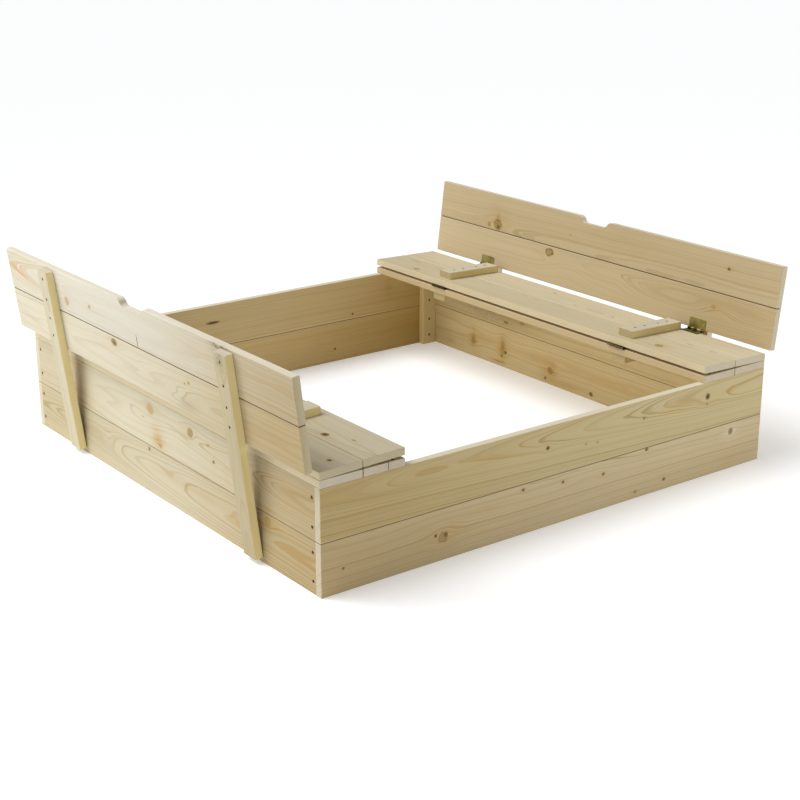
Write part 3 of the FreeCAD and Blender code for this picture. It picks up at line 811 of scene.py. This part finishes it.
            Patch(0.0, 0.0, 3000, 400, 0.9), Patch(0.68, -0.2, 16, 18, 1.2),
            Patch(0.47, -0.1, 20, 28, 1.3), Patch(0.15, -0.4, 30, 24, 1.2),
            Patch(0.04, -0.75, 70, 10, 1.3, -0.1), Patch(0.85, -0.6, 20, 10, 1.0),
        ],
        browns=[
            Patch(0.50, -0.78, 26, 2.5, 0.8), Patch(0.47, 0.0, 9, 28, 0.4), Patch(0.68, 0.0, 8, 24, 0.3),
            Patch(0.13, -0.25, 12, 18, 0.35),
        ],
    ),
    # the warm wash over the whole inner face is painted shade of the inside of the box
    "right_wall_upper_board": Look(
        "fair", (-6, 64), 3.6, 0.7, face=-1, shaded_seams=(-1,), wander=0.5,
        knots=[Knot(0.45, -0.70, 4, 0.6, 2.0), Knot(0.34, -0.5, 3.5, 0.4, 2.0)],
        smudges=[Patch(0.58, -0.5, 130, 24, 0.9)],
        stains_and_shade=[Patch(0.0, 0.0, 3000, 400, 0.9), Patch(0.05, 0.1, 80, 12, 0.5)],
        browns=[Patch(0.42, -0.5, 160, 26, 0.22)],
    ),
    "right_fixed_seat_inner_board": Look(
        "warm", (10, -60), 3.6, 0.8, edge="tan",
        knots=[Knot(-0.55, -0.97, 6, 0.8, 1.4)],
    ),
    "left_fixed_seat_inner_board": Look(
        "warm", (-10, -60), 3.6, 0.8, edge="tan", splits=[Patch(-1.0, -0.19, 9, 0.7, 0.7)],
        smudges=[Patch(-1.0, -0.85, 7, 6, 1.6)],
    ),
    "left_fixed_seat_outer_board": Look("pale", (8, -64), 3.6, 0.6, edge="straw"),
    # its long darkening patch is painted shade
    "left_strut_front": Look(
        "pale", (6, -46), 3.8, 0.35, edge="golden", smudges=[Patch(0.95, 0.1, 26, 18, 0.9)],
        browns=[Patch(-1.0, 0.0, 50, 30, 0.12)], painted_shades=[Patch(-0.4, 0.0, 700, 90, 1.0)],
    ),
    # the whole strut is darkened a little with painted shade
    "left_strut_back": Look(
        "pale", (-8, -50), 3.8, 0.35, edge="golden", painted_shades=[Patch(0.0, 0.0, 900, 90, 0.5)],
    ),
    "right_seat_batten_front": Look("pale", (4, -50), 3.8, 0.35, edge="golden", end="tan"),
    "right_seat_batten_back": Look("pale", (-6, -55), 3.8, 0.35, edge="golden", end="tan"),
    "left_seat_batten_front": Look("pale", (2, -52), 3.8, 0.35, edge="golden", end="tan"),
    "right_under_batten_front": Look("warm", (4, -50), 3.8, 0.5, edge="tan", end="tan"),
    "right_under_batten_back": Look("warm", (-4, -50), 3.8, 0.5, edge="tan", end="tan"),
    "back_right_post": Look("golden", (4, 60), 3.8, 0.5, edge="golden"),
}
GRAINS = {
    "front_wall": "x",
    "back_wall": "x",
    "left_wall": "y",
    "right_wall": "y",
    "post": "z",
    "strut_front": "z",
    "strut_back": "z",
    "batten_front": "x",
    "batten_back": "x",
    "seat_inner_board": "y",
    "seat_outer_board": "y",
    "backrest_lower_board": "y",
    "backrest_upper_board": "y",
}


def grain_of(node):
    """The axis that a wooden node's grain runs along, or None if it isn't wood."""
    if "screws" in node:
        return None
    return next((axis for part, axis in GRAINS.items() if part in node), None)


def usual_look(node):
    """A look for a board that has none of its own: a knot or two, where chance puts them."""
    chance = random.Random("look " + node)
    small = "batten" in node or "post" in node or "strut" in node
    count = chance.choice((0, 1)) if small else chance.choice((1, 2, 3))
    knots = []
    for _ in range(count):
        along = chance.uniform(-0.85, 0.85)
        across = chance.uniform(-0.6, 0.6)
        radius = chance.uniform(2.5, 5) if small else chance.uniform(3, 10)
        knots.append(Knot(along, across, radius, chance.uniform(0.2, 0.8)))
    tone = chance.choice(("plain", "pale", "warm"))
    return Look(tone, None, chance.uniform(3.0, 4.2), chance.uniform(0.6, 0.9), knots=knots)


def dress(node, material):
    """Gives a CAD node its material."""
    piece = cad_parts[node]
    piece.data.materials.clear()
    piece.data.materials.append(material)


zinc = zinc_material("hinge_zinc", rgb(0.46, 0.38, 0.10), rgb(0.24, 0.23, 0.07), rgb(0.62, 0.56, 0.28), 0.26)
# the same yellow zinc painted darker, as painted shade and dark reflections, for the fold hinges, pins and seat
# leaves that sit in the gaps
shaded_zinc = zinc_material("hinge_dark", rgb(0.15, 0.11, 0.045), rgb(0.05, 0.04, 0.02), rgb(0.40, 0.33, 0.18), 0.22)
steel = screw_material("screw_steel", rgb(0.12, 0.075, 0.035), rgb(0.26, 0.18, 0.09))
pale_steel = screw_material("screw_zinc", rgb(0.34, 0.32, 0.28), rgb(0.52, 0.50, 0.44))
for node in sorted(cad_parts):
    grain = grain_of(node)
    if grain:
        board = Board(node, grain)
        dress(node, wood_material(board, LOOKS.get(node) or usual_look(node)))
    elif "seat_batten_screws" in node or "hinge_screws" in node:
        dress(node, pale_steel)
    elif "screws" in node:
        dress(node, steel)
    elif "backrest_leaves" in node:
        dress(node, zinc)
    # the other hinge parts get the zinc painted darker with shade
    else:
        dress(node, shaded_zinc)


# ---------------------------------------------------------------- floor, light and camera


def floor():
    """A plain pale floor, far larger than the view."""
    mesh = bpy.data.meshes.new("floor")
    far = 40.0
    corners = [(-far, -far, 0), (far, -far, 0), (far, far, 0), (-far, far, 0)]
    mesh.from_pydata(corners, [], [(0, 1, 2, 3)])
    plane = bpy.data.objects.new("floor", mesh)
    bpy.context.scene.collection.objects.link(plane)
    material, g, surface = new_material("studio_floor")
    g.feed(surface.inputs["Base Color"], rgb(0.835, 0.840, 0.850))
    g.feed(surface.inputs["Emission Color"], rgb(1, 1, 1))
    g.feed(surface.inputs["Emission Strength"], 0.29)
    g.feed(surface.inputs["Roughness"], 0.9)
    g.feed(surface.inputs["Specular IOR Level"], 0.1)
    mesh.materials.append(material)


def softbox(name, place, target, size, power, colour):
    """An area light of a given size that faces a target."""
    light = bpy.data.lights.new(name, "AREA")
    light.shape = "DISK"
    light.size = size
    light.energy = power
    light.color = colour
    lamp = bpy.data.objects.new(name, light)
    lamp.visible_camera = False
    lamp.location = place
    lamp.rotation_mode = "QUATERNION"
    lamp.rotation_quaternion = (Vector(target) - Vector(place)).to_track_quat("-Z", "Y")
    bpy.context.scene.collection.objects.link(lamp)


def sun(name, direction, spread, strength, colour):
    """Even light over everything from one direction, with shadows softened over a spread in degrees."""
    light = bpy.data.lights.new(name, "SUN")
    light.angle = math.radians(spread)
    light.energy = strength
    light.color = colour
    lamp = bpy.data.objects.new(name, light)
    lamp.rotation_mode = "QUATERNION"
    lamp.rotation_quaternion = Vector(direction).to_track_quat("Z", "Y")
    bpy.context.scene.collection.objects.link(lamp)


def sky(strength):
    """Even white light from all round, in front of a white backdrop."""
    world = bpy.data.worlds.new("studio")
    world.use_nodes = True
    g = Graph(world.node_tree)
    seen = g.node("LightPath").outputs["Is Camera Ray"]
    background = world.node_tree.nodes["Background"]
    g.feed(background.inputs["Color"], rgb(1, 1, 1))
    g.feed(background.inputs["Strength"], g.lerp(seen, strength, 1.0))
    bpy.context.scene.world = world


def camera(azimuth, elevation, distance, aim, lens):
    """A camera at a distance from the aim point. Azimuth 0 looks along +Y, 90 along -X."""
    turn = math.radians(azimuth)
    rise = math.radians(elevation)
    back = Vector((math.sin(turn) * math.cos(rise), -math.cos(turn) * math.cos(rise), math.sin(rise)))
    eye = bpy.data.objects.new("camera", bpy.data.cameras.new("camera"))
    eye.location = Vector(aim) + back * distance
    eye.rotation_mode = "QUATERNION"
    eye.rotation_quaternion = (-back).to_track_quat("-Z", "Y")
    eye.data.lens = lens
    bpy.context.scene.collection.objects.link(eye)
    bpy.context.scene.camera = eye


floor()
sky(0.24)
sun("daylight", (-0.42, 0.30, 1.0), 40, 2.10, (1.0, 1.0, 1.0))
softbox("key", (-2.0, 1.2, 1.3), (-0.6, 0.15, 0.25), 1.4, 20, (0.94, 0.98, 1.0))
softbox("fill", (2.2, -2.4, 1.2), (0.5, -0.6, 0.1), 1.5, 20, (1.0, 0.94, 0.85))
camera(-36.95, 19.0, 3.714, (0.003, -0.040, 0.112), 72.4)
bpy.context.scene.view_settings.view_transform = "Standard"
